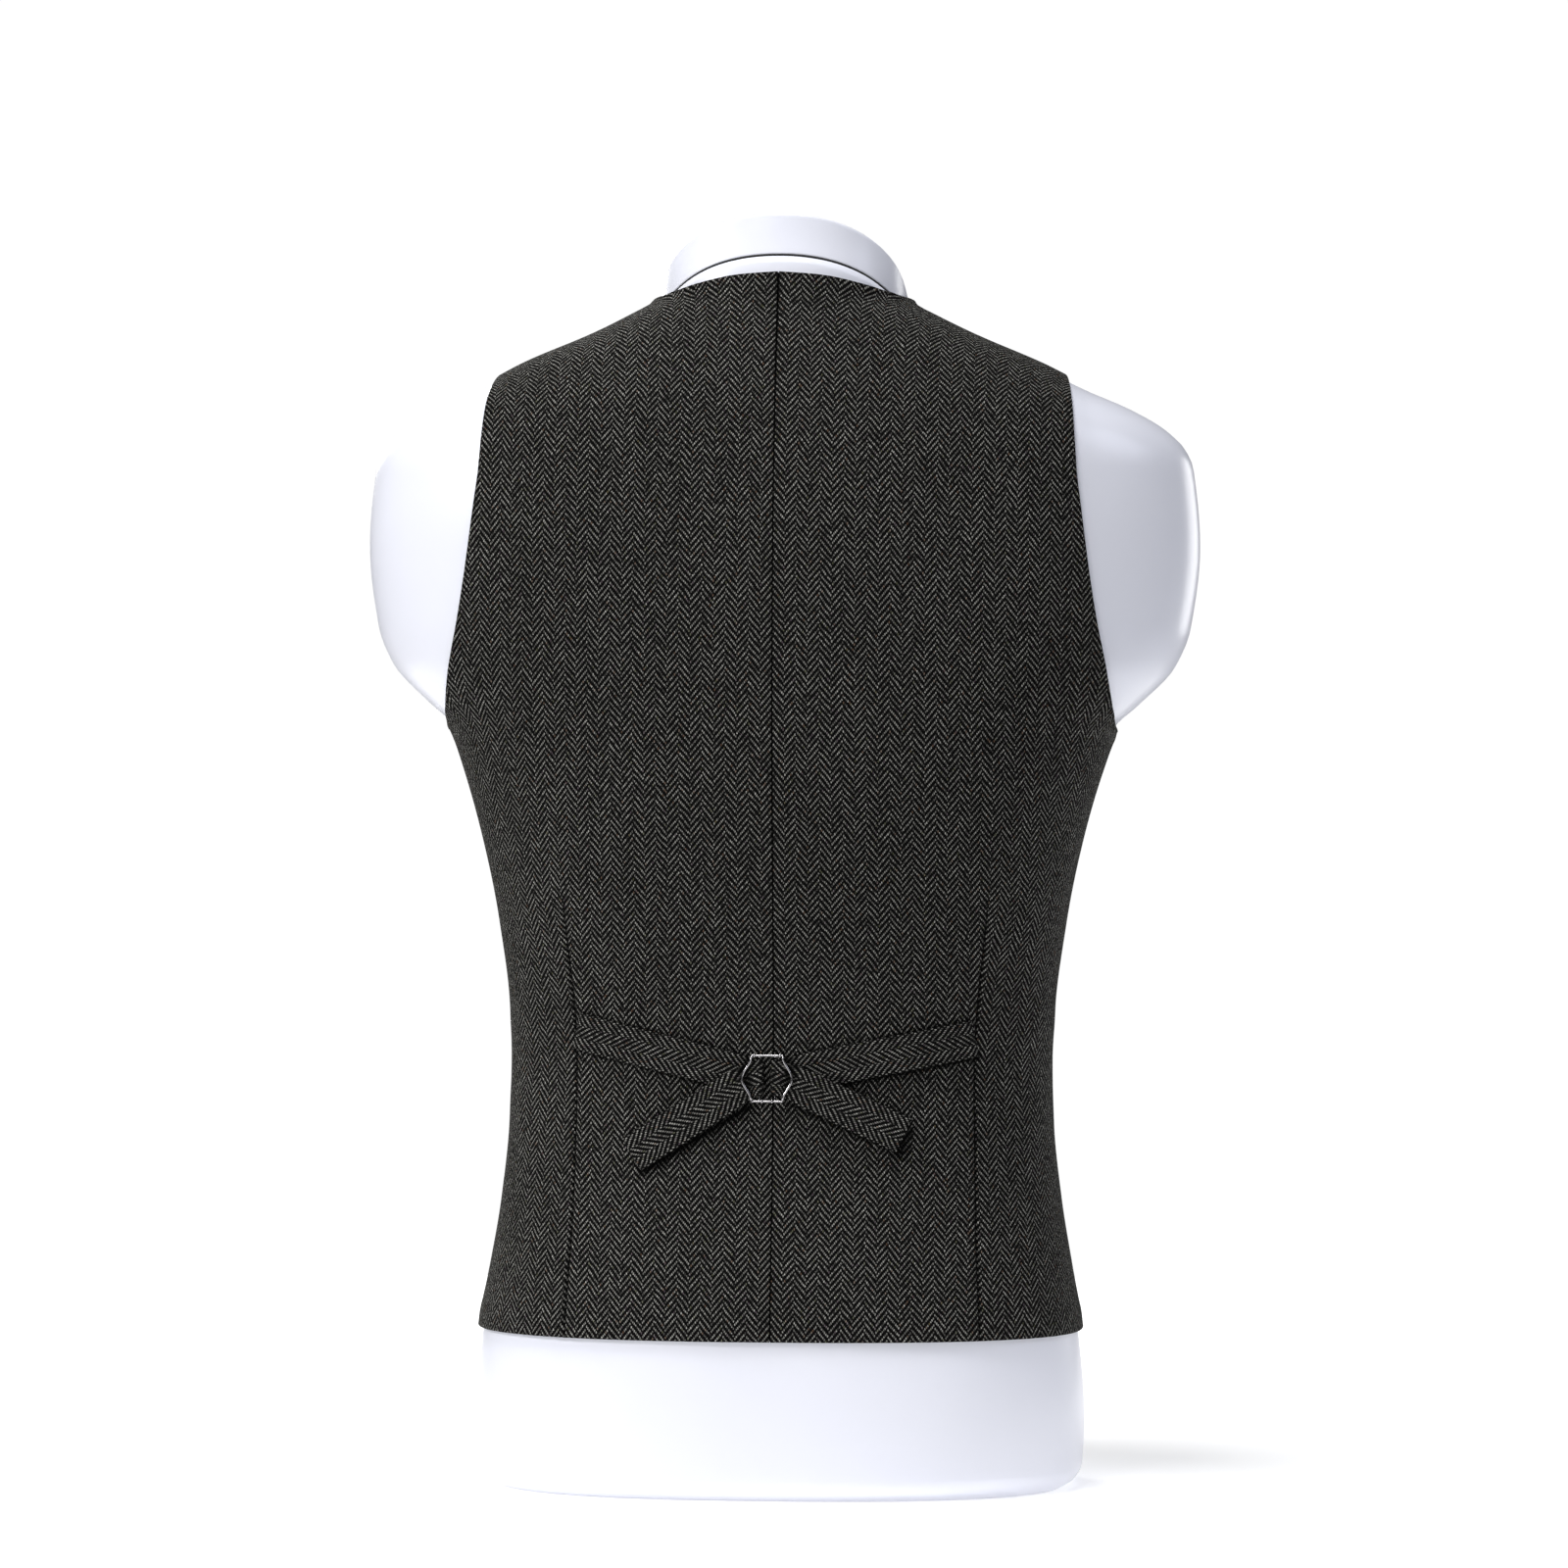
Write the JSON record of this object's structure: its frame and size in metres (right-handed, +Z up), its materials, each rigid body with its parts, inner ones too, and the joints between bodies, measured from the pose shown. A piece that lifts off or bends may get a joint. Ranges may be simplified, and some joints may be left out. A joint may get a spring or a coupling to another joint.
{
  "type": "suit waistcoat on a torso form",
  "caption": "Fitted herringbone wool suit waistcoat with a cinch belt and wire buckle at the back, worn by a glossy limbless torso form.",
  "frame": {"origin": "middle of the base of the object's box, where the form stands on its flat base", "axes": "+Z up the body, +X to the wearer's left, +Y out of the wearer's back"},
  "size_m": [0.464, 0.259, 0.7038],
  "materials": {
    "waistcoat_cloth": "matte dark charcoal-brown herringbone wool",
    "form_gloss": "glossy white gelcoat on fibreglass",
    "form_joint_dark": "dark shadow gap plate",
    "buckle_wire": "bright nickel-plated wire",
    "button_horn": "dark brown horn-effect resin, polished"
  },
  "bodies": {
    "root": {"form_torso": "form_gloss", "form_neck": "form_gloss", "form_joint": "form_joint_dark", "back_left": "waistcoat_cloth", "back_right": "waistcoat_cloth", "front_left": "waistcoat_cloth", "front_right": "waistcoat_cloth", "cinch_left": "waistcoat_cloth", "cinch_right": "waistcoat_cloth", "buckle": "buckle_wire", "button_1": "button_horn", "button_2": "button_horn", "button_3": "button_horn", "button_4": "button_horn", "button_5": "button_horn"}
  },
  "joints": []
}
